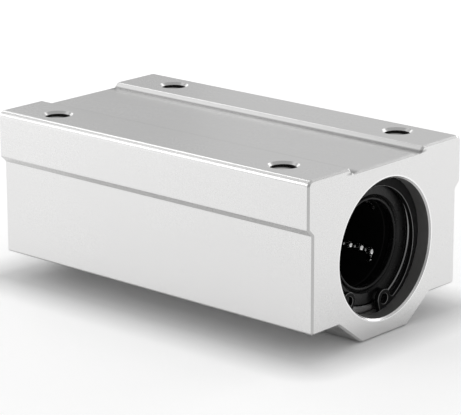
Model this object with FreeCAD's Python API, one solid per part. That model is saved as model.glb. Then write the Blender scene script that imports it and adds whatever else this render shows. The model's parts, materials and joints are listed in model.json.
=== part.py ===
import FreeCAD, Part
import math
import os

# Long linear bearing block: an aluminium block bored for two ball bushings that sit end
# to end between two internal circlips.  Millimetres.  The origin is the middle of the
# bore axis, +X runs along the bore, +Z points to the mounting face.

# ---- shaft, balls and bushing -----------------------------------------------------
SHAFT_DIAMETER = 20.0
BALL_DIAMETER = 3.175
SLEEVE_WALL = 2.825            # from the balls' raceway out to the sleeve's outside
BUSHING_LENGTH = 42.0
SPACER_WIDTH = 2.4             # ring between the two bushings

SLEEVE_END_CHAMFER = 0.5
SLEEVE_GROOVE_FROM_END = 5.75  # sleeve's end to the near side of its outside groove
SLEEVE_GROOVE_WIDTH = 1.6
SLEEVE_GROOVE_DEPTH = 0.75

SEAL_RECESS = 0.5              # seal face below the sleeve's end
SEAL_THICKNESS = 2.2
SEAL_SEAT_DEPTH = 0.97         # seal seat in the sleeve, outside the raceway
SEAT_MOUTH_CHAMFER = 0.2       # sleeve's inner edge at each end
SEAL_FACE_INNER = 1.4          # flat seal face ends this far outside the shaft
SEAL_LIP_ROUNDING = 0.36       # radius of the lip's nose
SEAL_LIP_RECESS = 0.25         # front of the lip's nose below the seal face
SEAL_VALLEY_RECESS = 0.75      # bottom of the dish round the lip, below the seal face
SEAL_LIP_WIDTH = 0.9           # behind the nose
SEAL_BACK_FLARE = 0.9
SEAL_RIM_CHAMFER = 0.25

SNAP_RING_THICKNESS = 1.0
SNAP_RING_BITE = 0.4           # snap ring groove outside the seal seat
SNAP_RING_HEIGHT = 2.25
SNAP_RING_GAP = 2.5

CAGE_INNER_GAP = 0.3           # cage inside wall outside the shaft
CAGE_EDGE_CHAMFER = 0.1
CAGE_END_WALL = 0.7            # cage left beyond the ball channel

CIRCUITS = 5                   # closed loops of balls in one bushing
FIRST_CIRCUIT_ANGLE = -27.0    # loaded row of the first loop, from +Y towards +Z
ROW_RIB = 1.025                # cage left between a loop's two rows
RETURN_LIFT = 0.7125           # return row further out than the loaded row
BALL_GAP = 0.08                # from one ball of a loop to the next
LOOP_STEP = 0.01               # search step along the loop for the next ball's place

# ---- housing block ------------------------------------------------------------------
END_RECESS = 4.8               # bushing end below the block's end face
TOP_WALL = 5.0                 # bore to mounting face
BOTTOM_WALL = 4.0              # bore to bottom flat
SIDE_WALL = 9.45               # bore to the body's side
FLANGE_OVERHANG = 1.55         # flange edge outside the body's side
FLANGE_EDGE_DEPTH = 11.0       # mounting face down to the flange's lower corner
SHOULDER_HEIGHT = 6.0          # bottom flat up to the shoulders
SHOULDER_WIDTH = 9.15          # flat underside of each shoulder
BOTTOM_HALF_WIDTH = 8.1
FLANGE_TOP_RADIUS = 1.45       # flange's upper corners
HOLE_TO_CHANNEL = 7.0          # mounting hole to the edge of the recess along the mounting face
CHANNEL_WALL_RUN = 1.05        # sideways run of the recess's sloping wall
CHANNEL_DEPTH = 1.15
CORNER_RADIUS = 0.6            # corners of the extruded outline
INNER_RADIUS = 0.4             # hollow corners of the outline
BOTTOM_RADIUS = 1.0
END_BEVEL = 0.45               # edge break round both end faces
BORE_CHAMFER = 0.4

# ---- mounting holes -------------------------------------------------------------------
HOLE_FROM_END = 13.0
HOLE_WALL = 1.4                # through hole to bore
THREAD_RADIUS = 3.0            # M6, wall at the thread's outer radius
THREAD_DEPTH = 12.0
THROUGH_RADIUS = 2.6
COUNTERSINK = 0.6              # edge break at the mounting face
EXIT_CHAMFER = 0.3             # edge break at the shoulder

# ---- circlips ---------------------------------------------------------------------------
CIRCLIP_THICKNESS = 1.2
CIRCLIP_GROOVE_DEPTH = 0.85
CIRCLIP_WIDTH = 3.25           # radial, opposite the gap
CIRCLIP_OFFSET = 0.93          # inner circle off centre, towards the gap
CIRCLIP_GAP_ANGLE = -100.0     # middle of the gap, from +Y towards +Z
LUG_ANGLE = 27.0               # lug hole from the middle of the gap
LUG_RADIUS = 2.2
LUG_INSET = 2.0                # lug hole centre inside the bore wall
LUG_HOLE_RADIUS = 1.25
LUG_FILLET = 0.8               # where a lug's side meets the ring
LUG_FILLET_SHARE = 0.8         # most of a lug's straight side that the fillet may take
CIRCLIP_EDGE = 0.12            # rounding of all its edges

# ---- clearances -----------------------------------------------------------------------------
SEAT_CLEARANCE = 0.02          # radial, bushing in the bore
SIDE_CLEARANCE = 0.05          # each side of a ring in its groove
RING_CLEARANCE = 0.03          # radial, a ring in its groove
LIP_CLEARANCE = 0.02           # radial, seal lip round the shaft
RACEWAY_CLEARANCE = 0.005      # radial, balls under the raceway
CAGE_CLEARANCE = 0.15          # radial, cage in the sleeve
CHANNEL_CLEARANCE = 0.1        # round the balls in their channel
END_CLEARANCE = 0.1            # cage to its snap rings

# ---- worked out from the above --------------------------------------------------------------
SHAFT_RADIUS = SHAFT_DIAMETER / 2
BALL_RADIUS = BALL_DIAMETER / 2
BORE_RADIUS = SHAFT_RADIUS + BALL_DIAMETER + SLEEVE_WALL
SLEEVE_RADIUS = BORE_RADIUS - SEAT_CLEARANCE
RACEWAY_RADIUS = SHAFT_RADIUS + BALL_DIAMETER + RACEWAY_CLEARANCE
LOADED_RADIUS = SHAFT_RADIUS + BALL_RADIUS
RETURN_RADIUS = LOADED_RADIUS + RETURN_LIFT
SEAL_SEAT_RADIUS = RACEWAY_RADIUS + SEAL_SEAT_DEPTH
SNAP_GROOVE_RADIUS = SEAL_SEAT_RADIUS + SNAP_RING_BITE
SNAP_GROOVE_START = SEAL_RECESS + SEAL_THICKNESS
SNAP_GROOVE_WIDTH = SNAP_RING_THICKNESS + 2 * SIDE_CLEARANCE
CAGE_START = SNAP_GROOVE_START + SNAP_GROOVE_WIDTH + END_CLEARANCE
CHANNEL_RADIUS = BALL_RADIUS + CHANNEL_CLEARANCE
TURN_RADIUS = (BALL_DIAMETER + ROW_RIB) / 2 + CHANNEL_CLEARANCE
CAGE_LENGTH = BUSHING_LENGTH - 2 * CAGE_START
ROW_LENGTH = CAGE_LENGTH - 2 * (CAGE_END_WALL + CHANNEL_RADIUS + TURN_RADIUS)

BUSHING_CENTRE = (SPACER_WIDTH + BUSHING_LENGTH) / 2
BUSHING_END = SPACER_WIDTH / 2 + BUSHING_LENGTH
HALF_LENGTH = BUSHING_END + END_RECESS
LENGTH = 2 * HALF_LENGTH

TOP = BORE_RADIUS + TOP_WALL
BOTTOM = -(BORE_RADIUS + BOTTOM_WALL)
BODY_HALF_WIDTH = BORE_RADIUS + SIDE_WALL
FLANGE_HALF_WIDTH = BODY_HALF_WIDTH + FLANGE_OVERHANG
FLANGE_BOTTOM = TOP - FLANGE_EDGE_DEPTH
SHOULDER = BOTTOM + SHOULDER_HEIGHT
HOLE_X = HALF_LENGTH - HOLE_FROM_END
HOLE_Y = BORE_RADIUS + HOLE_WALL + THROUGH_RADIUS
CHANNEL_HALF_WIDTH = HOLE_Y - HOLE_TO_CHANNEL

CIRCLIP_GROOVE_RADIUS = BORE_RADIUS + CIRCLIP_GROOVE_DEPTH
CIRCLIP_GROOVE_WIDTH = CIRCLIP_THICKNESS + 2 * SIDE_CLEARANCE
CIRCLIP_OUTER_RADIUS = CIRCLIP_GROOVE_RADIUS - RING_CLEARANCE
CIRCLIP_INNER_RADIUS = CIRCLIP_OUTER_RADIUS - CIRCLIP_WIDTH + CIRCLIP_OFFSET
LUG_HOLE_CIRCLE = BORE_RADIUS - LUG_INSET

X_AXIS = FreeCAD.Vector(1, 0, 0)
Z_AXIS = FreeCAD.Vector(0, 0, 1)
TOUCH = 1e-4                   # lengths under this count as nothing
CUT_OVER = 1.0                 # a cutting tool stands this far out of what it cuts


# ---- helpers ------------------------------------------------------------------------------------
def polar(x, radius, angle):
    """A point round the bore axis; the angle runs from +Y towards +Z, in degrees."""
    turn = math.radians(angle)
    return FreeCAD.Vector(x, radius * math.cos(turn), radius * math.sin(turn))


def rounded_wire(corners):
    """A closed wire in the YZ plane through (y, z, corner radius) points."""
    points = [FreeCAD.Vector(0, y, z) for y, z, radius in corners]
    count = len(points)
    starts = []
    arcs = []
    ends = []
    for index in range(count):
        point = points[index]
        back = (points[index - 1] - point).normalize()
        ahead = (points[(index + 1) % count] - point).normalize()
        radius = corners[index][2]
        half = back.getAngle(ahead) / 2
        reach = radius / math.tan(half)
        middle = (back + ahead).normalize() * (radius / math.sin(half) - radius)
        starts.append(point + back * reach)
        ends.append(point + ahead * reach)
        arcs.append(Part.Arc(starts[-1], point + middle, ends[-1]).toShape())
    edges = []
    for index in range(count):
        edges.append(arcs[index])
        edges.append(Part.makeLine(ends[index], starts[(index + 1) % count]))
    return Part.Wire(edges)


def turned(section):
    """A solid of revolution round the bore axis from (x, radius) points."""
    points = [FreeCAD.Vector(x, radius, 0) for x, radius in section]
    face = Part.Face(Part.makePolygon(points + points[:1]))
    return face.revolve(FreeCAD.Vector(0, 0, 0), X_AXIS, 360)


def tube(start, end, inner, outer):
    return turned([(start, inner), (end, inner), (end, outer), (start, outer)])


def disc(start, end, radius):
    return Part.makeCylinder(radius, end - start, FreeCAD.Vector(start, 0, 0), X_AXIS)


def flat_edges(shape):
    """The edges that lie in a plane across the bore."""
    return [edge for edge in shape.Edges if edge.BoundBox.XLength < TOUCH]


def moved(shape, x):
    return shape.translated(FreeCAD.Vector(x, 0, 0))


def spun(shape, angle):
    """A copy turned round the bore axis, in degrees from +Y towards +Z."""
    copy = shape.copy()
    copy.rotate(FreeCAD.Vector(0, 0, 0), X_AXIS, angle)
    return copy


def mirrored(shape):
    """The same piece at the other end of the block."""
    return shape.mirror(FreeCAD.Vector(0, 0, 0), X_AXIS)


# ---- housing block --------------------------------------------------------------------------------
def outline():
    """Right half of the extruded profile from top to bottom, then its mirror image."""
    half = [
        (CHANNEL_HALF_WIDTH - CHANNEL_WALL_RUN, TOP - CHANNEL_DEPTH, INNER_RADIUS),
        (CHANNEL_HALF_WIDTH, TOP, CORNER_RADIUS),
        (FLANGE_HALF_WIDTH, TOP, FLANGE_TOP_RADIUS),
        (FLANGE_HALF_WIDTH, FLANGE_BOTTOM, CORNER_RADIUS),
        (BODY_HALF_WIDTH, FLANGE_BOTTOM - FLANGE_OVERHANG, INNER_RADIUS),
        (BODY_HALF_WIDTH, SHOULDER, CORNER_RADIUS),
        (BODY_HALF_WIDTH - SHOULDER_WIDTH, SHOULDER, INNER_RADIUS),
        (BOTTOM_HALF_WIDTH, BOTTOM, BOTTOM_RADIUS),
    ]
    other = [(-y, z, radius) for y, z, radius in reversed(half)]
    return rounded_wire(half + other)


def bevelled_bar():
    """The profile run along the bore, with its edges broken all round both ends."""
    bar = moved(Part.Face(outline()).extrude(X_AXIS * LENGTH), -HALF_LENGTH)
    return bar.makeChamfer(END_BEVEL, flat_edges(bar))


def mounting_hole(x, y):
    """Tapped from the mounting face, then drilled on through the shoulder."""
    steps = [
        (0, TOP + CUT_OVER),
        (THREAD_RADIUS + COUNTERSINK + CUT_OVER, TOP + CUT_OVER),
        (THREAD_RADIUS, TOP - COUNTERSINK),
        (THREAD_RADIUS, TOP - THREAD_DEPTH),
        (THROUGH_RADIUS, TOP - THREAD_DEPTH - (THREAD_RADIUS - THROUGH_RADIUS)),
        (THROUGH_RADIUS, SHOULDER + EXIT_CHAMFER),
        (THROUGH_RADIUS + EXIT_CHAMFER + CUT_OVER, SHOULDER - CUT_OVER),
        (0, SHOULDER - CUT_OVER),
    ]
    points = [FreeCAD.Vector(radius, 0, z) for radius, z in steps]
    face = Part.Face(Part.makePolygon(points + points[:1]))
    hole = face.revolve(FreeCAD.Vector(0, 0, 0), Z_AXIS, 360)
    return hole.translated(FreeCAD.Vector(x, y, 0))


def bore_cutter():
    """The bore, its mouth chamfers and its two circlip grooves, as one turned tool."""
    beyond = HALF_LENGTH + CUT_OVER
    groove_start = BUSHING_END
    groove_end = groove_start + CIRCLIP_GROOVE_WIDTH
    right = [
        (groove_start, BORE_RADIUS),
        (groove_start, CIRCLIP_GROOVE_RADIUS),
        (groove_end, CIRCLIP_GROOVE_RADIUS),
        (groove_end, BORE_RADIUS),
        (HALF_LENGTH - BORE_CHAMFER, BORE_RADIUS),
        (beyond, BORE_RADIUS + BORE_CHAMFER + CUT_OVER),
        (beyond, 0),
    ]
    left = [(-x, radius) for x, radius in reversed(right)]
    return turned(left + right)


def housing_block():
    block = bevelled_bar().cut(bore_cutter())
    for x in (-HOLE_X, HOLE_X):
        for y in (-HOLE_Y, HOLE_Y):
            block = block.cut(mounting_hole(x, y))
    return block


# ---- circlip ----------------------------------------------------------------------------------------
def lug_tool(angle, radius, start, end):
    """A rod along X at the lug's hole."""
    return Part.makeCylinder(radius, end - start, polar(start, LUG_HOLE_CIRCLE, angle), X_AXIS)


def lug(angle, start, end):
    """A round-tipped tongue that stands inwards from the ring's outer edge."""
    tip = lug_tool(angle, LUG_RADIUS, start, end)
    stem = Part.makeBox(end - start, CIRCLIP_GROOVE_RADIUS - LUG_HOLE_CIRCLE, 2 * LUG_RADIUS)
    stem.translate(FreeCAD.Vector(start, LUG_HOLE_CIRCLE, -LUG_RADIUS))
    return tip.fuse(spun(stem, angle))


def gap_wedge(start, end):
    """The sector between the two lugs' middles."""
    corners = [FreeCAD.Vector(start, 0, 0)]
    for side in (-1, 1):
        corners.append(polar(start, 2 * CIRCLIP_GROOVE_RADIUS, CIRCLIP_GAP_ANGLE + side * LUG_ANGLE))
    return Part.Face(Part.makePolygon(corners + corners[:1])).extrude(X_AXIS * (end - start))


def round_lug_roots(ring, hollow_centre, angles):
    """Round the two corners where a lug's outer side runs into the ring's inner circle."""
    roots = []
    radius = LUG_FILLET
    for edge in ring.Edges:
        place = edge.CenterOfMass
        place.x = 0
        from_circle = abs(place.distanceToPoint(hollow_centre) - CIRCLIP_INNER_RADIUS)
        if edge.BoundBox.XLength > TOUCH and from_circle < TOUCH:
            tip = min(place.distanceToPoint(polar(0, LUG_HOLE_CIRCLE, angle)) for angle in angles)
            straight_side = math.sqrt(tip ** 2 - LUG_RADIUS ** 2)
            radius = min(radius, LUG_FILLET_SHARE * straight_side)
            roots.append(edge)
    return ring.makeFillet(radius, roots)


def circlip():
    """Internal circlip whose ring narrows towards its two lugs."""
    start = BUSHING_END + SIDE_CLEARANCE
    end = start + CIRCLIP_THICKNESS
    angles = (CIRCLIP_GAP_ANGLE - LUG_ANGLE, CIRCLIP_GAP_ANGLE + LUG_ANGLE)
    hollow_centre = polar(0, CIRCLIP_OFFSET, CIRCLIP_GAP_ANGLE)
    hollow = disc(start, end, CIRCLIP_INNER_RADIUS).translated(hollow_centre)
    ring = disc(start, end, CIRCLIP_OUTER_RADIUS).cut([hollow, gap_wedge(start, end)])
    ring = ring.fuse([lug(angle, start, end) for angle in angles])
    ring = ring.common(disc(start, end, CIRCLIP_OUTER_RADIUS)).removeSplitter()
    ring = round_lug_roots(ring, hollow_centre, angles)
    ring = ring.cut([lug_tool(angle, LUG_HOLE_RADIUS, start, end) for angle in angles])
    return ring.makeFillet(CIRCLIP_EDGE, flat_edges(ring))


# ---- bushing, modelled about x = 0 and then moved to its place --------------------------------
def circuit_rows():
    """Where a loop's loaded row and return row cross the plane x = 0, loaded row along +Y."""
    reach = 2 * TURN_RADIUS
    square = LOADED_RADIUS ** 2 + RETURN_RADIUS ** 2 - reach ** 2
    apart = math.degrees(math.acos(square / (2 * LOADED_RADIUS * RETURN_RADIUS)))
    return polar(0, LOADED_RADIUS, 0), polar(0, RETURN_RADIUS, -apart)


def row_channel(foot):
    start = foot - X_AXIS * (ROW_LENGTH / 2)
    return Part.makeCylinder(CHANNEL_RADIUS, ROW_LENGTH, start, X_AXIS)


def return_channel():
    """The part of a loop's channel that is relieved in the sleeve: both turns and the return row."""
    loaded, back = circuit_rows()
    shift = X_AXIS * (ROW_LENGTH / 2)
    mouth = Part.Face(Part.Wire(Part.makeCircle(CHANNEL_RADIUS, loaded + shift, X_AXIS)))
    turn = mouth.revolve((loaded + back) / 2 + shift, (back - loaded).cross(X_AXIS), -180)
    return turn.fuse([mirrored(turn), row_channel(back)])


def loop_channel():
    """The whole channel of a loop, as it is open in the cage."""
    return return_channel().fuse(row_channel(circuit_rows()[0]))


def loop_point(distance):
    """The ball centre at a distance along the loop from the loaded row's start."""
    loaded, back = circuit_rows()
    across = (back - loaded).normalize()
    middle = (loaded + back) / 2
    half_row = ROW_LENGTH / 2
    row_and_turn = ROW_LENGTH + math.pi * TURN_RADIUS
    side = 1
    if distance >= row_and_turn:
        distance -= row_and_turn
        side = -1
    if distance < ROW_LENGTH:
        along = distance - half_row
        sideways = TURN_RADIUS
    else:
        turn = (distance - ROW_LENGTH) / TURN_RADIUS
        along = half_row + TURN_RADIUS * math.sin(turn)
        sideways = TURN_RADIUS * math.cos(turn)
    return middle + X_AXIS * (side * along) - across * (side * sideways)


def ball_places():
    """Ball centres round the loop, each one spacing on from the last, up to the first again."""
    spacing = BALL_DIAMETER + BALL_GAP
    length = 2 * (ROW_LENGTH + math.pi * TURN_RADIUS)
    distance = 0.0
    places = []
    while distance < length / 2 or loop_point(distance).distanceToPoint(places[0]) > spacing:
        places.append(loop_point(distance))
        distance += spacing
        while loop_point(distance).distanceToPoint(places[-1]) < spacing:
            distance += LOOP_STEP
    return places


def ball_circuit():
    """One closed loop of balls."""
    return Part.makeCompound([Part.makeSphere(BALL_RADIUS, place) for place in ball_places()])


def at_each_circuit(shape):
    """Copies of a loop's shape turned to the place of each circuit."""
    copies = []
    for index in range(CIRCUITS):
        copies.append(spun(shape, FIRST_CIRCUIT_ANGLE + index * 360.0 / CIRCUITS))
    return copies


def sleeve():
    """Hardened sleeve: raceway, seal seats and snap ring grooves inside, two grooves outside."""
    half = BUSHING_LENGTH / 2
    groove_start = half - SNAP_GROOVE_START
    groove_end = groove_start - SNAP_GROOVE_WIDTH
    outer_groove = half - SLEEVE_GROOVE_FROM_END
    inner_side = outer_groove - SLEEVE_GROOVE_WIDTH
    right = [
        (inner_side, SLEEVE_RADIUS),
        (inner_side, SLEEVE_RADIUS - SLEEVE_GROOVE_DEPTH),
        (outer_groove, SLEEVE_RADIUS - SLEEVE_GROOVE_DEPTH),
        (outer_groove, SLEEVE_RADIUS),
        (half - SLEEVE_END_CHAMFER, SLEEVE_RADIUS),
        (half, SLEEVE_RADIUS - SLEEVE_END_CHAMFER),
        (half, SEAL_SEAT_RADIUS + SEAT_MOUTH_CHAMFER),
        (half - SEAT_MOUTH_CHAMFER, SEAL_SEAT_RADIUS),
        (groove_start, SEAL_SEAT_RADIUS),
        (groove_start, SNAP_GROOVE_RADIUS),
        (groove_end, SNAP_GROOVE_RADIUS),
        (groove_end, RACEWAY_RADIUS),
    ]
    left = [(-x, radius) for x, radius in reversed(right)]
    body = turned(right + left)
    return body.cut(at_each_circuit(return_channel()))


def cage():
    """Plastic cage that holds the balls: open to the shaft only at the loaded rows."""
    half = CAGE_LENGTH / 2
    inner = SHAFT_RADIUS + CAGE_INNER_GAP
    outer = RACEWAY_RADIUS - CAGE_CLEARANCE
    body = turned([
        (-half, inner + CAGE_EDGE_CHAMFER),
        (-half + CAGE_EDGE_CHAMFER, inner),
        (half - CAGE_EDGE_CHAMFER, inner),
        (half, inner + CAGE_EDGE_CHAMFER),
        (half, outer - CAGE_EDGE_CHAMFER),
        (half - CAGE_EDGE_CHAMFER, outer),
        (-half + CAGE_EDGE_CHAMFER, outer),
        (-half, outer - CAGE_EDGE_CHAMFER),
    ])
    return body.cut(at_each_circuit(loop_channel()))


def end_seal():
    """Rubber seal at the +X end: flat face, a dish round the lip, and the lip's round nose."""
    face = BUSHING_LENGTH / 2 - SEAL_RECESS
    back = face - SEAL_THICKNESS
    rim = SEAL_SEAT_RADIUS - SEAT_CLEARANCE
    lip = SHAFT_RADIUS + LIP_CLEARANCE
    flat = SHAFT_RADIUS + SEAL_FACE_INNER
    nose = lip + SEAL_LIP_ROUNDING
    nose_x = face - SEAL_LIP_RECESS - SEAL_LIP_ROUNDING
    ring = turned([
        (back, rim),
        (face - SEAL_RIM_CHAMFER, rim),
        (face, rim - SEAL_RIM_CHAMFER),
        (face, flat),
        (face - SEAL_VALLEY_RECESS, (flat + nose) / 2),
        (nose_x, nose + SEAL_LIP_ROUNDING),
        (nose_x, lip),
        (nose_x - SEAL_LIP_WIDTH, lip),
        (back, lip + SEAL_BACK_FLARE),
    ])
    bead = Part.makeTorus(nose, SEAL_LIP_ROUNDING, FreeCAD.Vector(nose_x, 0, 0), X_AXIS)
    return ring.fuse(bead).removeSplitter()


def snap_ring():
    """Open ring in the sleeve's inner groove at the +X end; it keeps the cage in."""
    start = BUSHING_LENGTH / 2 - SNAP_GROOVE_START - SIDE_CLEARANCE - SNAP_RING_THICKNESS
    end = start + SNAP_RING_THICKNESS
    outer = SNAP_GROOVE_RADIUS - RING_CLEARANCE
    ring = tube(start, end, outer - SNAP_RING_HEIGHT, outer)
    gap = Part.makeBox(SNAP_RING_THICKNESS, SNAP_RING_GAP, outer)
    return ring.cut(gap.translated(FreeCAD.Vector(start, -SNAP_RING_GAP / 2, 0)))


def spacer_ring():
    return tube(-SPACER_WIDTH / 2, SPACER_WIDTH / 2, SEAL_SEAT_RADIUS, SLEEVE_RADIUS)


def bushing_pieces():
    """All pieces of one bushing, by name, about x = 0."""
    pieces = {
        "sleeve": sleeve(),
        "cage": cage(),
        "seal_outer": end_seal(),
        "seal_inner": mirrored(end_seal()),
        "snap_ring_outer": snap_ring(),
        "snap_ring_inner": mirrored(snap_ring()),
    }
    for index, circuit in enumerate(at_each_circuit(ball_circuit())):
        pieces["balls_%d" % (index + 1)] = circuit
    return pieces


def all_pieces():
    pieces = {"housing_block": housing_block(), "spacer_ring": spacer_ring()}
    front_circlip = circlip()
    pieces["circlip_front"] = front_circlip
    pieces["circlip_rear"] = mirrored(front_circlip)
    for name, shape in bushing_pieces().items():
        front = moved(shape, BUSHING_CENTRE)
        pieces["front_bushing_" + name] = front
        pieces["rear_bushing_" + name] = mirrored(front)
    return pieces


os.makedirs("parts", exist_ok=True)
for node, piece in all_pieces().items():
    piece.exportStep("parts/%s.step" % node)
    print(node, len(piece.Solids), "solids", round(piece.Volume, 1), "mm3", piece.isValid())
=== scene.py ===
import json
import math
import bmesh
import bpy
from mathutils import Matrix, Vector


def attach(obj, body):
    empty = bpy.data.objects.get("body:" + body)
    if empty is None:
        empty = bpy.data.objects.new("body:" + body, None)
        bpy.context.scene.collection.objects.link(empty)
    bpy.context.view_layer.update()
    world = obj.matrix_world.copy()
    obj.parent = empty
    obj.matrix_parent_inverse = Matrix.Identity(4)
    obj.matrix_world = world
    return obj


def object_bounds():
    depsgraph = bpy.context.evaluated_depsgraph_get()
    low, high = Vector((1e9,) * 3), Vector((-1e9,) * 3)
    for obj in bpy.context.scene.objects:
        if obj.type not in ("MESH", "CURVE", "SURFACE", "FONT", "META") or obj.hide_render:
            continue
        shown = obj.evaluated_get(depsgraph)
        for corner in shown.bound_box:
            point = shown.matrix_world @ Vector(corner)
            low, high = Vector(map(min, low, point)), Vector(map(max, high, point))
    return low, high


# Looks of a long linear bearing block: a clear anodised aluminium block with two ball
# bushings in its bore, black circlips, black seals and polished balls.  Metres, in the
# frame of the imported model: +X along the bore, +Z up to the mounting face.

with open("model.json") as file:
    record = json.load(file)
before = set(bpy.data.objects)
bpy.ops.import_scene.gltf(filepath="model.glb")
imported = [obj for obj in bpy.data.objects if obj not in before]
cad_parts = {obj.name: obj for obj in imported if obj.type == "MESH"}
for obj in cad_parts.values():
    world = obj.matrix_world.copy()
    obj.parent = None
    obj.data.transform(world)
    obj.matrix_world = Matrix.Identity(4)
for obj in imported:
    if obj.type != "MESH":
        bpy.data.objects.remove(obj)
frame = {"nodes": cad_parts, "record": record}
nodes = frame["nodes"]
mounts = {mount["name"]: mount for mount in frame["record"]["mounts"]}
cad_low, cad_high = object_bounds()

MM = 0.001

# ---- camera ------------------------------------------------------------------------------
CAMERA_TARGET = Vector((0.8, 0.9, 0.4)) * MM
CAMERA_DISTANCE = 571.3 * MM
CAMERA_AZIMUTH = -48.16         # degrees from +X towards +Y
CAMERA_ELEVATION = 16.01
CAMERA_ROLL = -0.16
CLIP_START = 0.01
LENS_MM = 190.1
SENSOR_MM = 36.0

# ---- threads -----------------------------------------------------------------------------
THREAD_PITCH = 1.0 * MM
THREAD_CREST_RADIUS = 2.5 * MM
THREAD_CREST_SHARE = 0.125      # flat at the crest, as a share of the pitch
THREAD_ROOT_SHARE = 0.875       # foot of a ridge on the wall, as a share of the pitch
THREAD_DEPTH = 11.4 * MM
THREAD_STEPS = 48               # sections in one turn
THREAD_RUN_OUT = 0.5            # turns over which a ridge dies out at its lower end
THREAD_SINK = 0.02 * MM         # ridge foot inside the wall
THREAD_LEAST = 0.05             # share of its height that a ridge keeps where it dies out
SHARP_DEGREES = 30.0            # edges of the added pieces that bend more than this stay sharp

# ---- places on the housing ---------------------------------------------------------------
FACE_DEPTH = 0.02 * MM          # a point less deep than this is on the face
BORE_EDGE_RADIUS = 16.95 * MM   # just outside the circlip grooves
MOUTH_DEPTH = 0.42 * MM         # chamfer at the mouth of the bore
MOUTH_RADIUS = 16.4 * MM
RIM_HIGHLIGHT_WIDTH = 0.35 * MM          # width of the painted highlight ring of the end face round the bore
HOLE_EDGE_RADIUS = 3.02 * MM    # just outside the tapped wall
HOLE_MOUTH_RADIUS = 3.65 * MM   # just outside the countersink
HOLE_FADE_DEPTH = 0.1 * MM      # the greys of a tapped wall come in over this depth
RECESS_FOOT_Y = 11.95 * MM      # foot of the walls of the recess along the mounting face
RECESS_FLOOR = 19.85 * MM
FOOT_DARK_WIDTH = 2.6 * MM      # the foot's painted shade line dies out over this width of the floor
FOOT_DARK_HEIGHT = 0.45 * MM    # and over this height of the wall
FOOT_DARK_SPAN = (0.3, 1.0)     # the shares of both over which it fades
DOWNWARD_SPAN = (-0.2, -0.5)    # Z of the normal over which the underside's painted shade comes in
UPRIGHT_EDGE_SPAN = (0.3, 0.45)     # X times Y of it, the same for the upright edges' painted shade

# ---- ranges ------------------------------------------------------------------------------
RISE = (0.0, 1.0)               # of a mask that comes in
FALL = (1.0, 0.0)               # and of one that goes out
NOISE_SPAN = (0.3, 0.7)         # nearly all of a noise lies between these
TWO_NOISES_SPAN = (0.6, 1.4)    # and of the sum of two
TURNED_SPAN = (0.7, 1.3)        # the same for the two noises of turning lines


# ---- node helpers ------------------------------------------------------------------------
def add(tree, kind, inputs=None, **settings):
    """A shader node with its settings, and its inputs set to values or linked to sockets."""
    node = tree.nodes.new(kind)
    for name, value in settings.items():
        setattr(node, name, value)
    for name, value in (inputs or {}).items():
        if isinstance(value, bpy.types.NodeSocket):
            tree.links.new(value, node.inputs[name])
        else:
            node.inputs[name].default_value = value
    return node


def maths(tree, operation, first, second=0.0):
    return add(tree, "ShaderNodeMath", {0: first, 1: second}, operation=operation).outputs[0]


def times(tree, first, second):
    return maths(tree, "MULTIPLY", first, second)


def past(tree, value, reach):
    """How far a value lies beyond a reach that is the same on both sides of zero."""
    return maths(tree, "SUBTRACT", maths(tree, "ABSOLUTE", value), reach)


def split(tree, vector):
    """The X, Y and Z of a vector, by name."""
    return add(tree, "ShaderNodeSeparateXYZ", {0: vector}).outputs


def length(tree, vector):
    return add(tree, "ShaderNodeVectorMath", {0: vector}, operation="LENGTH").outputs["Value"]


def flat_length(tree, across, aside):
    """Length of a vector with two parts."""
    return length(tree, add(tree, "ShaderNodeCombineXYZ", {0: across, 1: aside}).outputs[0])


def position(tree):
    """The point's place in the frame, which is each node's object space."""
    return add(tree, "ShaderNodeTexCoord").outputs["Object"]


def surface_normal(tree):
    return add(tree, "ShaderNodeNewGeometry").outputs["Normal"]


def stretched(tree, scales):
    """The point's place with each axis scaled, for a texture that is drawn out."""
    place = add(tree, "ShaderNodeMapping", {"Vector": position(tree), "Scale": scales})
    return place.outputs["Vector"]


def noise_at(tree, vector, detail):
    inputs = {"Vector": vector, "Scale": 1.0, "Detail": detail}
    return add(tree, "ShaderNodeTexNoise", inputs).outputs[0]


def noise(tree, waves, detail):
    """A noise whose waves per metre are given along each axis, or as one number for all."""
    scales = waves if isinstance(waves, tuple) else (waves, waves, waves)
    return noise_at(tree, stretched(tree, scales), detail)


def swing(tree, texture, amount):
    """A noise brought down to zero in its middle and scaled."""
    return times(tree, maths(tree, "SUBTRACT", texture, 0.5), amount)


def between(tree, value, span, result):
    """A value carried from one range to another, and held at its ends."""
    inputs = {0: value, 1: span[0], 2: span[1], 3: result[0], 4: result[1]}
    return add(tree, "ShaderNodeMapRange", inputs).outputs[0]


def mix_colour(tree, factor, first, second):
    node = add(tree, "ShaderNodeMix", {0: factor, 6: first, 7: second}, data_type="RGBA")
    return node.outputs[2]


def bump(tree, height, distance):
    inputs = {"Height": height, "Strength": 1.0, "Distance": distance}
    return add(tree, "ShaderNodeBump", inputs).outputs[0]


def grey(level, warmth=0.0):
    return (level * (1 + warmth), level, level * (1 - warmth), 1.0)


def new_material(name):
    """A material with an empty tree and its Principled shader already on the output."""
    material = bpy.data.materials.new(name)
    material.use_nodes = True
    tree = material.node_tree
    tree.nodes.clear()
    shader = add(tree, "ShaderNodeBsdfPrincipled")
    add(tree, "ShaderNodeOutputMaterial", {"Surface": shader.outputs[0]})
    return material, tree, shader


def feed(tree, shader, **inputs):
    """Set or link the shader's sockets; words in a socket's name are joined by _."""
    for name, value in inputs.items():
        socket = shader.inputs[name.replace("_", " ")]
        if isinstance(value, bpy.types.NodeSocket):
            tree.links.new(value, socket)
        else:
            socket.default_value = value


# ---- places, as masks --------------------------------------------------------------------
def hole_reach():
    """Half the spacing of the mounting holes along X and along Y."""
    dims = mounts["mounting_holes"]["dims"]
    return dims["spacing_x_mm"] / 2 * MM, dims["spacing_y_mm"] / 2 * MM


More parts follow.
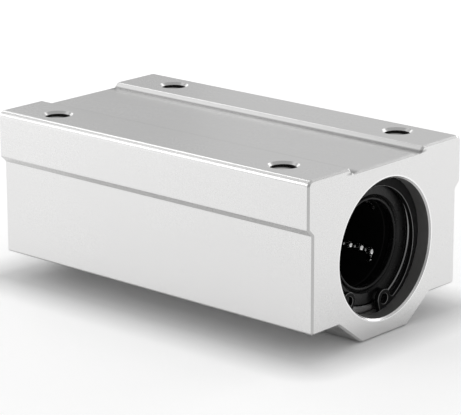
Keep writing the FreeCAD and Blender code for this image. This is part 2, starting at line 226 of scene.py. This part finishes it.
def radius_from_bore(tree):
    """Distance from the bore axis."""
    return length(tree, stretched(tree, (0.0, 1.0, 1.0)))


def bore_masks(tree):
    """1 on the bore's wall, 1 on the end faces, and 1 on the painted highlight ring of an end
    face.
    """
    radius = radius_from_bore(tree)
    along = maths(tree, "ABSOLUTE", split(tree, position(tree))["X"])
    in_bore = maths(tree, "LESS_THAN", radius, BORE_EDGE_RADIUS)
    behind_mouth = maths(tree, "LESS_THAN", along, cad_high.x - MOUTH_DEPTH)
    end_face = maths(tree, "GREATER_THAN", along, cad_high.x - FACE_DEPTH)
    rim_span = (MOUTH_RADIUS + RIM_HIGHLIGHT_WIDTH / 2, MOUTH_RADIUS + RIM_HIGHLIGHT_WIDTH)
    rim_highlight = times(tree, end_face, between(tree, radius, rim_span, FALL))
    return times(tree, in_bore, behind_mouth), end_face, rim_highlight


def hole_masks(tree):
    """1 in a mounting hole below its countersink, 1 in all of it, and the distance from its
    axis."""
    reach_x, reach_y = hole_reach()
    place = split(tree, position(tree))
    radius = flat_length(tree, past(tree, place["X"], reach_x), past(tree, place["Y"], reach_y))
    foot = mounts["mounting_holes"]["pos_m"][2]
    deep = between(tree, place["Z"], (foot, foot - HOLE_FADE_DEPTH), RISE)
    in_hole = times(tree, maths(tree, "LESS_THAN", radius, HOLE_EDGE_RADIUS), deep)
    sunk = maths(tree, "LESS_THAN", place["Z"], cad_high.z - FACE_DEPTH)
    in_mouth = times(tree, maths(tree, "LESS_THAN", radius, HOLE_MOUTH_RADIUS), sunk)
    return in_hole, in_mouth, radius


def recess_foot_shade(tree):
    """1 along the foot of the recess's walls, where shade is painted, fading out over the floor
    and up the walls.
    """
    place = split(tree, position(tree))
    aside = maths(tree, "DIVIDE", past(tree, place["Y"], RECESS_FOOT_Y), FOOT_DARK_WIDTH)
    above = maths(tree, "SUBTRACT", place["Z"], RECESS_FLOOR)
    away = flat_length(tree, aside, maths(tree, "DIVIDE", above, FOOT_DARK_HEIGHT))
    return between(tree, away, FOOT_DARK_SPAN, FALL)


def facing(tree):
    """1 where the surface faces the floor, and 1 on an upright edge between end and side; both
    carry painted shade.
    """
    normal = split(tree, surface_normal(tree))
    corner = maths(tree, "ABSOLUTE", times(tree, normal["X"], normal["Y"]))
    down = between(tree, normal["Z"], DOWNWARD_SPAN, RISE)
    return down, between(tree, corner, UPRIGHT_EDGE_SPAN, RISE)


# ---- housing -----------------------------------------------------------------------------
ALLOY_GREYS = (grey(0.755, 0.004), grey(0.785, 0.003))
ALLOY_SATIN = (0.24, 0.29)      # roughness, as in the other ranges of this kind
ALLOY_BUMP = 0.0013 * MM
DRAW_LINES = (9.0, 2600.0, 2600.0)
LINE_SHADE = 0.06
LINE_HEIGHT = 0.5               # as a share of the grain's
CLOUDS = (35.0, 60.0, 60.0)
CLOUD_SHADE = 0.10
SHADE_SPAN = (-0.05, 0.05)      # shades of lines and clouds that lead across ALLOY_GREYS
BLAST_GRAIN = 5200.0
PAINT_SHARE = 0.9               # how fully the painted shade of the underside and of the recess foot covers
# painted shade under the block's downward faces
UNDERSIDE_SHADE_GREY = grey(0.60, 0.003)
# painted shade on the upright edges between end and side
UPRIGHT_EDGE_SHADE_GREY = grey(0.50, 0.003)
# painted shade along the foot of the recess's walls
RECESS_FOOT_SHADE_GREY = grey(0.30, 0.004)
# painted highlight on the ring of the end face round the bore
RIM_HIGHLIGHT_GREY = grey(0.98)
# painted shade on the bore's wall
BORE_WALL_SHADE_GREY = grey(0.48, 0.01)
BORE_WALL_ROUGHER = 0.22
# painted shade in the countersinks; in the tapped holes a painted highlight on the thread crests
# fading to painted shade at the roots
COUNTERSINK_SHADE_GREY = grey(0.62, 0.004)
THREAD_CREST_HIGHLIGHT_GREY = grey(0.90, 0.01)
THREAD_ROOT_SHADE_GREY = grey(0.03, 0.02)


def housing_colour(tree, lines, clouds, bore_wall, rim_highlight):
    """The alloy's grey, with painted shade and painted highlights laid over single places."""
    shade = maths(tree, "ADD", swing(tree, lines, LINE_SHADE), swing(tree, clouds, CLOUD_SHADE))
    down, edge = facing(tree)
    in_hole, in_mouth, hole_radius = hole_masks(tree)
    # painted highlight on the thread crests fading to painted shade at the thread roots
    rootward = between(tree, hole_radius, (THREAD_CREST_RADIUS, HOLE_EDGE_RADIUS), RISE)
    thread = mix_colour(tree, rootward, THREAD_CREST_HIGHLIGHT_GREY, THREAD_ROOT_SHADE_GREY)
    colour = mix_colour(tree, between(tree, shade, SHADE_SPAN, RISE), *ALLOY_GREYS)
    # painted shade and painted highlights laid over the alloy, in this order
    for mask, over in (
            (times(tree, down, PAINT_SHARE), UNDERSIDE_SHADE_GREY),
            (edge, UPRIGHT_EDGE_SHADE_GREY),
            (times(tree, recess_foot_shade(tree), PAINT_SHARE), RECESS_FOOT_SHADE_GREY),
            (rim_highlight, RIM_HIGHLIGHT_GREY),
            (bore_wall, BORE_WALL_SHADE_GREY),
            (in_mouth, COUNTERSINK_SHADE_GREY),
            (in_hole, thread)):
        colour = mix_colour(tree, mask, colour, over)
    return colour


def anodised_aluminium():
    """Satin clear anodised extrusion: draw lines along X but for the end faces, and a grain."""
    material, tree, shader = new_material("anodised_aluminium")
    bore_wall, end_face, rim_highlight = bore_masks(tree)
    lines = noise(tree, DRAW_LINES, detail=2.0)
    clouds = noise(tree, CLOUDS, detail=3.0)
    grain = noise(tree, BLAST_GRAIN, detail=1.0)
    satin = between(tree, maths(tree, "ADD", clouds, grain), TWO_NOISES_SPAN, ALLOY_SATIN)
    drawn = times(tree, lines, maths(tree, "SUBTRACT", 1.0, end_face))
    height = maths(tree, "ADD", times(tree, drawn, LINE_HEIGHT), grain)
    feed(tree, shader, Base_Color=housing_colour(tree, lines, clouds, bore_wall, rim_highlight),
         Metallic=1.0,
         Roughness=maths(tree, "ADD", satin, times(tree, bore_wall, BORE_WALL_ROUGHER)),
         Normal=bump(tree, height, ALLOY_BUMP))
    return material


# ---- bushings and circlips ---------------------------------------------------------------
RING_GREY = grey(0.22)
RING_SATIN = (0.18, 0.32)
RING_BUMP = 0.0015 * MM
RING_WAVES = 6000.0             # turning lines per metre, along the bore and outwards
BALL_GREY = grey(0.75)
BALL_POLISH = (0.04, 0.10)
BALL_SMEARS = 900.0
SPRING_GREYS = (grey(0.30), grey(0.40))
SPRING_SATIN = (0.25, 0.4)
SPRING_STREAKS = (700.0, 2500.0, 2500.0)
CIRCLIP_GREYS = (grey(0.004), grey(0.008))
CIRCLIP_SATIN = (0.26, 0.34)
CIRCLIP_SHINE = 0.1             # specular level, as in the other two shines
CIRCLIP_BUMP = 0.002 * MM
CIRCLIP_PATCHES = 1200.0
CIRCLIP_GRAIN = 9000.0
CIRCLIP_METAL_GREY = grey(0.35)
CIRCLIP_WEAR = 0.75             # how much of the metal shows on the rounded edges
CIRCLIP_FLAT_SPAN = (0.92, 0.995)   # X of the normal where an edge runs into the flat face
CIRCLIP_EDGE_SPAN = (0.15, 0.5)     # and where it rises from the ring's wall
CIRCLIP_FLAT_ROUGHER = 0.2
CAGE_GREYS = (grey(0.002), grey(0.004))
CAGE_MATT = (0.42, 0.52)
CAGE_SHINE = 0.12
CAGE_BUMP = 0.002 * MM
CAGE_GRAIN = 3000.0
RUBBER_GREYS = (grey(0.003), grey(0.005))
RUBBER_SATIN = (0.24, 0.32)
RUBBER_SHINE = 0.25
RUBBER_BUMP = 0.0015 * MM
RUBBER_BLOOM = 500.0
RUBBER_GRAIN = 7000.0


def bearing_steel():
    """Hardened and ground ring steel with fine turning lines round the bore."""
    material, tree, shader = new_material("bearing_steel")
    wall_rings = noise(tree, (RING_WAVES, 0.0, 0.0), detail=2.0)
    outwards = add(tree, "ShaderNodeCombineXYZ",
                   {0: times(tree, radius_from_bore(tree), RING_WAVES)})
    face_rings = noise_at(tree, outwards.outputs[0], detail=2.0)
    lines = maths(tree, "ADD", wall_rings, face_rings)
    feed(tree, shader, Base_Color=RING_GREY, Metallic=1.0,
         Roughness=between(tree, lines, TURNED_SPAN, RING_SATIN),
         Normal=bump(tree, lines, RING_BUMP))
    return material


def ball_steel():
    """Lapped and polished balls."""
    material, tree, shader = new_material("ball_steel")
    smears = noise(tree, BALL_SMEARS, detail=4.0)
    feed(tree, shader, Base_Color=BALL_GREY, Metallic=1.0,
         Roughness=between(tree, smears, NOISE_SPAN, BALL_POLISH))
    return material


def spring_steel():
    """Bright hardened spring steel."""
    material, tree, shader = new_material("spring_steel")
    streaks = noise(tree, SPRING_STREAKS, detail=3.0)
    feed(tree, shader, Base_Color=mix_colour(tree, streaks, *SPRING_GREYS), Metallic=1.0,
         Roughness=between(tree, streaks, NOISE_SPAN, SPRING_SATIN))
    return material


def circlip_black_steel():
    """Black phosphated and oiled steel, worn down to the metal on its rounded edges."""
    material, tree, shader = new_material("circlip_black_steel")
    patches = noise(tree, CIRCLIP_PATCHES, detail=4.0)
    grain = noise(tree, CIRCLIP_GRAIN, detail=2.0)
    lean = maths(tree, "ABSOLUTE", split(tree, surface_normal(tree))["X"])
    flat = between(tree, lean, CIRCLIP_FLAT_SPAN, RISE)
    corner = times(tree, between(tree, lean, CIRCLIP_EDGE_SPAN, RISE),
                   maths(tree, "SUBTRACT", 1.0, flat))
    worn = times(tree, corner, CIRCLIP_WEAR)
    skin = mix_colour(tree, patches, *CIRCLIP_GREYS)
    satin = between(tree, patches, NOISE_SPAN, CIRCLIP_SATIN)
    feed(tree, shader, Base_Color=mix_colour(tree, worn, skin, CIRCLIP_METAL_GREY), Metallic=worn,
         Roughness=maths(tree, "ADD", satin, times(tree, flat, CIRCLIP_FLAT_ROUGHER)),
         Specular_IOR_Level=CIRCLIP_SHINE, Normal=bump(tree, grain, CIRCLIP_BUMP))
    return material


def cage_plastic():
    """Injection moulded black plastic."""
    material, tree, shader = new_material("cage_plastic")
    grain = noise(tree, CAGE_GRAIN, detail=3.0)
    feed(tree, shader, Base_Color=mix_colour(tree, grain, *CAGE_GREYS),
         Roughness=between(tree, grain, NOISE_SPAN, CAGE_MATT),
         Specular_IOR_Level=CAGE_SHINE, Normal=bump(tree, grain, CAGE_BUMP))
    return material


def seal_rubber():
    """Moulded black nitrile rubber with a faint bloom and a dull shine."""
    material, tree, shader = new_material("seal_rubber")
    bloom = noise(tree, RUBBER_BLOOM, detail=5.0)
    grain = noise(tree, RUBBER_GRAIN, detail=2.0)
    feed(tree, shader, Base_Color=mix_colour(tree, bloom, *RUBBER_GREYS),
         Roughness=between(tree, bloom, NOISE_SPAN, RUBBER_SATIN),
         Specular_IOR_Level=RUBBER_SHINE, Normal=bump(tree, grain, RUBBER_BUMP))
    return material


MATERIALS = {make.__name__: make for make in (
    anodised_aluminium, bearing_steel, ball_steel, spring_steel, circlip_black_steel,
    cage_plastic, seal_rubber)}


def dress_nodes():
    """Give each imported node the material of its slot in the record."""
    made = {name: make() for name, make in MATERIALS.items()}
    for part in frame["record"]["subparts"]:
        mesh = nodes[part["node"]].data
        mesh.materials.clear()
        mesh.materials.append(made[part["material_slot"]])
    return made


# ---- threads in the mounting holes -------------------------------------------------------
def thread_places():
    """Foot of the countersink of each tapped hole, on the hole's axis."""
    centre = Vector(mounts["mounting_holes"]["pos_m"])
    reach_x, reach_y = hole_reach()
    places = {}
    for end, x in (("rear", -reach_x), ("front", reach_x)):
        for side, y in (("near", -reach_y), ("far", reach_y)):
            places["thread_%s_%s" % (end, side)] = centre + Vector((x, y, 0))
    return places


def thread_section(turn, turns, wall, below):
    """Radius and height of a ridge's four corners; the countersink's cone cuts its top."""
    share = max(THREAD_LEAST, min(1.0, (turns - turn) / THREAD_RUN_OUT))
    crest = wall - (wall - THREAD_CREST_RADIUS) * share
    foot = THREAD_ROOT_SHARE * THREAD_PITCH * share / 2
    tip = min(foot, THREAD_CREST_SHARE * THREAD_PITCH / 2)
    least = (wall - THREAD_CREST_RADIUS) * THREAD_LEAST
    corners = [(wall + THREAD_SINK, foot)]
    for height in (tip, -tip):
        cone = wall - (below - height)
        corners.append((min(max(crest, cone), wall - least), height))
    corners.append((wall + THREAD_SINK, -foot))
    return corners


def thread_ridge(name, top):
    """The helical ridge of one internal thread, from the foot of the countersink down."""
    wall = mounts["mounting_holes"]["dims"]["hole_r_mm"] * MM
    turns = THREAD_DEPTH / THREAD_PITCH
    count = round(turns * THREAD_STEPS)
    mesh = bmesh.new()
    rings = []
    for index in range(count + 1):
        turn = turns * index / count
        angle = 2 * math.pi * turn
        below = THREAD_PITCH / 2 + turn * (THREAD_DEPTH - THREAD_PITCH) / turns
        ring = []
        for radius, height in thread_section(turn, turns, wall, below):
            corner = (top.x + radius * math.cos(angle), top.y - radius * math.sin(angle),
                      top.z - below + height)
            ring.append(mesh.verts.new(corner))
        rings.append(ring)
    for ring, following in zip(rings, rings[1:]):
        for corner in range(4):
            after = (corner + 1) % 4
            mesh.faces.new((ring[corner], ring[after], following[after], following[corner]))
    mesh.faces.new(reversed(rings[0]))
    mesh.faces.new(rings[-1])
    bmesh.ops.recalc_face_normals(mesh, faces=mesh.faces)
    return finished_piece(name, mesh)


def finished_piece(name, mesh):
    """A mesh object that is smooth but for its sharp edges."""
    data = bpy.data.meshes.new(name)
    mesh.to_mesh(data)
    mesh.free()
    data.shade_smooth()
    data.set_sharp_from_angle(angle=math.radians(SHARP_DEGREES))
    piece = bpy.data.objects.new(name, data)
    bpy.context.scene.collection.objects.link(piece)
    return piece


def add_threads(material):
    for name, top in thread_places().items():
        ridge = thread_ridge(name, top)
        ridge.data.materials.append(material)
        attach(ridge, "root")


# ---- stage -------------------------------------------------------------------------------
FLOOR_GAP = 0.02 * MM           # the floor lies this far under the block
FLOOR_RADIUS = 4.0
FLOOR_CORNERS = 96              # of the round floor's outline
FLOOR_COLOUR = grey(0.90)
FLOOR_ROUGHNESS = 0.9
FLOOR_GLOW = 0.35               # lifts the lit floor to white for the camera and reflections
PAINTED_SHADOW_SPAN = (0.0, 12.0 * MM)    # it comes in over this distance from the block's footprint; short of it the floor carries a painted shadow
WORLD_LEVEL = 0.56


def distance_from_block(tree):
    """How far a point of the floor lies outside the block's footprint."""
    place = split(tree, position(tree))
    gaps = [maths(tree, "MAXIMUM", past(tree, place[axis], reach), 0.0)
            for axis, reach in (("X", cad_high.x), ("Y", cad_high.y))]
    return flat_length(tree, *gaps)


def floor_material():
    """Pale matt floor that takes a shadow; the camera and reflections see it lifted to white,
    with a painted shadow where the lift fades out near the block.
    """
    material, tree, shader = new_material("floor")
    path = add(tree, "ShaderNodeLightPath")
    seen = maths(tree, "MAXIMUM", path.outputs["Is Camera Ray"], path.outputs["Is Glossy Ray"])
    seen = maths(tree, "MAXIMUM", seen, path.outputs["Is Transmission Ray"])
    # the glow fades out towards the block: a painted shadow round its footprint
    glow_with_painted_shadow = between(tree, distance_from_block(tree), PAINTED_SHADOW_SPAN, (0.0, FLOOR_GLOW))
    feed(tree, shader, Base_Color=FLOOR_COLOUR, Roughness=FLOOR_ROUGHNESS,
         Specular_IOR_Level=0.0, Emission_Color=grey(1.0),
         Emission_Strength=times(tree, seen, glow_with_painted_shadow))
    return material


def add_floor():
    mesh = bmesh.new()
    bmesh.ops.create_circle(mesh, cap_ends=True, radius=FLOOR_RADIUS, segments=FLOOR_CORNERS,
                            matrix=Matrix.Translation((0, 0, cad_low.z - FLOOR_GAP)))
    floor = finished_piece("floor", mesh)
    floor.data.materials.append(floor_material())


def add_world():
    """An even white surrounding."""
    world = bpy.data.worlds.new("studio")
    bpy.context.scene.world = world
    world.use_nodes = True
    tree = world.node_tree
    tree.nodes.clear()
    light = add(tree, "ShaderNodeBackground", {"Color": grey(1.0), "Strength": WORLD_LEVEL})
    add(tree, "ShaderNodeOutputWorld", {"Surface": light.outputs[0]})


def direction(azimuth, elevation):
    """Unit vector at an azimuth from +X towards +Y and an elevation, both in degrees."""
    turn = math.radians(azimuth)
    rise = math.radians(elevation)
    return Vector((math.cos(rise) * math.cos(turn), math.cos(rise) * math.sin(turn),
                   math.sin(rise)))


def add_softbox(name, azimuth, elevation, distance, size, watts):
    """A square area lamp that faces the middle of the bore."""
    lamp = bpy.data.lights.new(name, "AREA")
    lamp.shape = "SQUARE"
    lamp.size = size
    lamp.energy = watts
    away = direction(azimuth, elevation)
    holder = bpy.data.objects.new(name, lamp)
    holder.location = away * distance
    holder.rotation_euler = away.to_track_quat("Z", "Y").to_euler()
    bpy.context.scene.collection.objects.link(holder)


def add_lamps():
    """Those on the left draw the bright lines of the rounded edges; those behind light the
    top and the holes."""
    add_softbox("front_left", -125, 28, distance=0.6, size=0.20, watts=0.23)
    add_softbox("front_left_low", -138, 12, distance=0.5, size=0.26, watts=0.09)
    add_softbox("front_left_mid", -140, 28, distance=0.6, size=0.20, watts=0.12)
    add_softbox("left_high", -160, 45, distance=0.6, size=0.20, watts=0.06)
    add_softbox("back_left_high", 158, 45, distance=0.6, size=0.20, watts=0.17)
    add_softbox("back_low", 162, 12, distance=0.5, size=0.26, watts=0.26)
    add_softbox("back_far", 118, 14, distance=0.5, size=0.26, watts=0.02)
    add_softbox("back_mid", 86, 28, distance=0.6, size=0.24, watts=0.24)
    add_softbox("back_right_low", 72, 12, distance=0.5, size=0.26, watts=0.30)


def add_camera():
    data = bpy.data.cameras.new("camera")
    data.lens = LENS_MM
    data.sensor_width = SENSOR_MM
    data.clip_start = CLIP_START
    out = direction(CAMERA_AZIMUTH, CAMERA_ELEVATION)
    turn = out.to_track_quat("Z", "Y").to_matrix().to_4x4()
    camera = bpy.data.objects.new("camera", data)
    place = Matrix.Translation(CAMERA_TARGET + out * CAMERA_DISTANCE)
    camera.matrix_world = place @ turn @ Matrix.Rotation(math.radians(CAMERA_ROLL), 4, "Z")
    bpy.context.scene.collection.objects.link(camera)
    bpy.context.scene.camera = camera


materials = dress_nodes()
add_threads(materials["anodised_aluminium"])
add_floor()
add_world()
add_lamps()
add_camera()
bpy.context.scene.view_settings.view_transform = "Standard"
